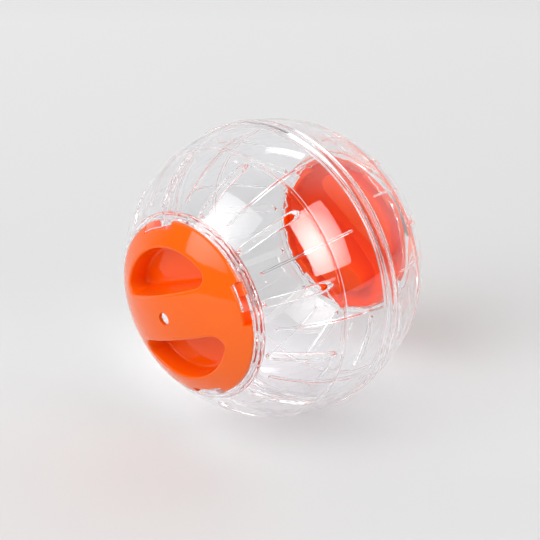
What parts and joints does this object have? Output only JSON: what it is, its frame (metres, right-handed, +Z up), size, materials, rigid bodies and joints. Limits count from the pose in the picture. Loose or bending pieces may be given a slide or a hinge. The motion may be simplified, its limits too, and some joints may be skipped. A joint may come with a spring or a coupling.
{
  "type": "hamster ball",
  "caption": "Clear exercise ball for a dwarf hamster: two clear half shells with air slots, closed by a twist lid with finger recesses on each side of the rolling axis.",
  "frame": {"origin": "centre of the ball", "axes": "+Y along the rolling axis, from the front lid to the rear lid; +Z up as the ball lies on its equator band"},
  "size_m": [0.1208, 0.1198, 0.1208],
  "materials": {
    "clear_shell": "clear moulded polystyrene, glossy",
    "orange_lid": "opaque orange moulded polystyrene, glossy"
  },
  "bodies": {
    "front_half": {"front_shell": "clear_shell"},
    "rear_half": {"rear_shell": "clear_shell"},
    "front_door": {"front_lid": "orange_lid"},
    "rear_door": {"rear_lid": "orange_lid"}
  },
  "joints": [
    {"name": "halves_pull", "type": "slide", "parent": "front_half", "child": "rear_half", "axis": [0, 1, 0], "range_m": [0, 0.07]},
    {"name": "front_lid_twist", "type": "hinge", "parent": "front_half", "child": "front_door", "pos_m": [0, -0.05, 0], "axis": [0, -1, 0], "range_deg": [0, 9]},
    {"name": "rear_lid_twist", "type": "hinge", "parent": "rear_half", "child": "rear_door", "pos_m": [0, 0.05, 0], "axis": [0, 1, 0], "range_deg": [0, 9]}
  ]
}
